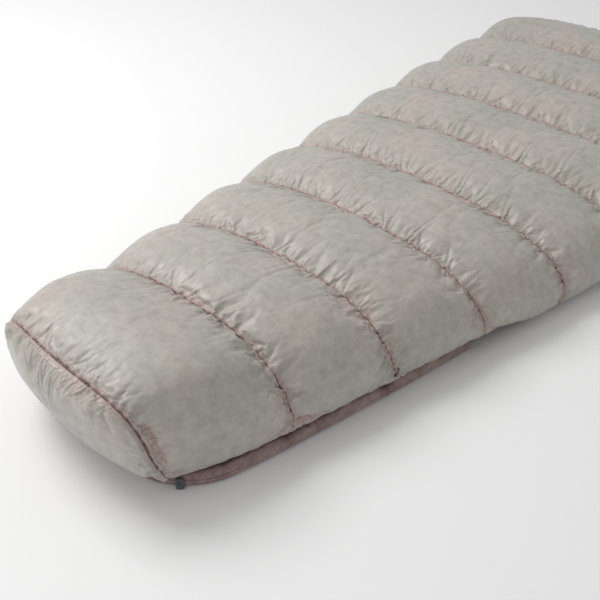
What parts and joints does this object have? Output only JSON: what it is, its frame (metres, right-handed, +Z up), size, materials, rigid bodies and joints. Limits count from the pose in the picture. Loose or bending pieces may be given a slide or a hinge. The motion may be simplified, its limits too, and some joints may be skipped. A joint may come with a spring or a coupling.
{
  "type": "camp quilt",
  "caption": "Down camp quilt laid out as an arch, with cross-sewn chambers, a closed foot box with a domed end panel and base, and side hems tucked under.",
  "frame": {"origin": "on the floor, under the middle of the whole quilt", "axes": "+Y from the foot box to the neck opening, +X to the right-hand edge seen from the foot, +Z up"},
  "size_m": [0.8698, 1.8492, 0.2082],
  "materials": {
    "shell_fabric": "thin translucent plain nylon, warm light grey, soft satin, down showing through",
    "lining_fabric": "thin nylon, dusky pink-brown, soft satin",
    "down": "white down clusters, matt",
    "baffle_mesh": "fine open mesh, matt",
    "edge_tape": "narrow woven binding, matt",
    "corner_tape": "blue-grey ribbed grosgrain",
    "hardware": "satin dark plastic"
  },
  "bodies": {
    "foot_section": {"outer_shell_foot": "shell_fabric", "inner_lining_foot": "lining_fabric", "edge_binding_left_foot": "edge_tape", "edge_binding_right_foot": "edge_tape", "down_fill_1": "down", "down_fill_2": "down", "down_fill_3": "down", "down_fill_4": "down", "baffle_wall_1": "baffle_mesh", "baffle_wall_2": "baffle_mesh", "baffle_wall_3": "baffle_mesh", "baffle_wall_4": "baffle_mesh", "end_panel_shell": "shell_fabric", "end_panel_fill": "down", "end_panel_lining": "lining_fabric", "base_shell": "lining_fabric", "base_fill": "down", "base_lining": "lining_fabric"},
    "hip_section": {"outer_shell_hip": "shell_fabric", "inner_lining_hip": "lining_fabric", "edge_binding_left_hip": "edge_tape", "edge_binding_right_hip": "edge_tape", "down_fill_5": "down", "down_fill_6": "down", "baffle_wall_5": "baffle_mesh", "baffle_wall_6": "baffle_mesh"},
    "chest_section": {"outer_shell_chest": "shell_fabric", "inner_lining_chest": "lining_fabric", "edge_binding_left_chest": "edge_tape", "edge_binding_right_chest": "edge_tape", "down_fill_7": "down", "down_fill_8": "down", "baffle_wall_7": "baffle_mesh", "baffle_wall_8": "baffle_mesh"},
    "head_section": {"outer_shell_head": "shell_fabric", "inner_lining_head": "lining_fabric", "edge_binding_left_head": "edge_tape", "edge_binding_right_head": "edge_tape", "down_fill_9": "down", "neck_binding": "edge_tape", "neck_eyelet_left": "hardware", "neck_eyelet_right": "hardware", "neck_snap_stud": "hardware", "neck_snap_socket": "hardware"},
    "corner_tab_left": {"corner_tab_left": "corner_tape"},
    "corner_tab_right": {"corner_tab_right": "corner_tape"}
  },
  "joints": [
    {"name": "hip_fold", "type": "hinge", "parent": "foot_section", "child": "hip_section", "pos_m": [0, -0.06292, 0.1466], "axis": [1, 0, 0], "range_deg": [0, 60]},
    {"name": "chest_fold", "type": "hinge", "parent": "hip_section", "child": "chest_section", "pos_m": [0, 0.32708, 0.128], "axis": [1, 0, 0], "range_deg": [0, 60]},
    {"name": "neck_fold", "type": "hinge", "parent": "chest_section", "child": "head_section", "pos_m": [0, 0.71708, 0.1119], "axis": [1, 0, 0], "range_deg": [0, 60]},
    {"name": "corner_tab_left_swing", "type": "hinge", "parent": "foot_section", "child": "corner_tab_left", "pos_m": [-0.17094, -0.8038, 0.021], "axis": [-0.7071, 0.7071, 0], "range_deg": [0, 75]},
    {"name": "corner_tab_right_swing", "type": "hinge", "parent": "foot_section", "child": "corner_tab_right", "pos_m": [0.17094, -0.81849, 0.021], "axis": [-0.7071, -0.7071, 0], "range_deg": [0, 75]}
  ]
}
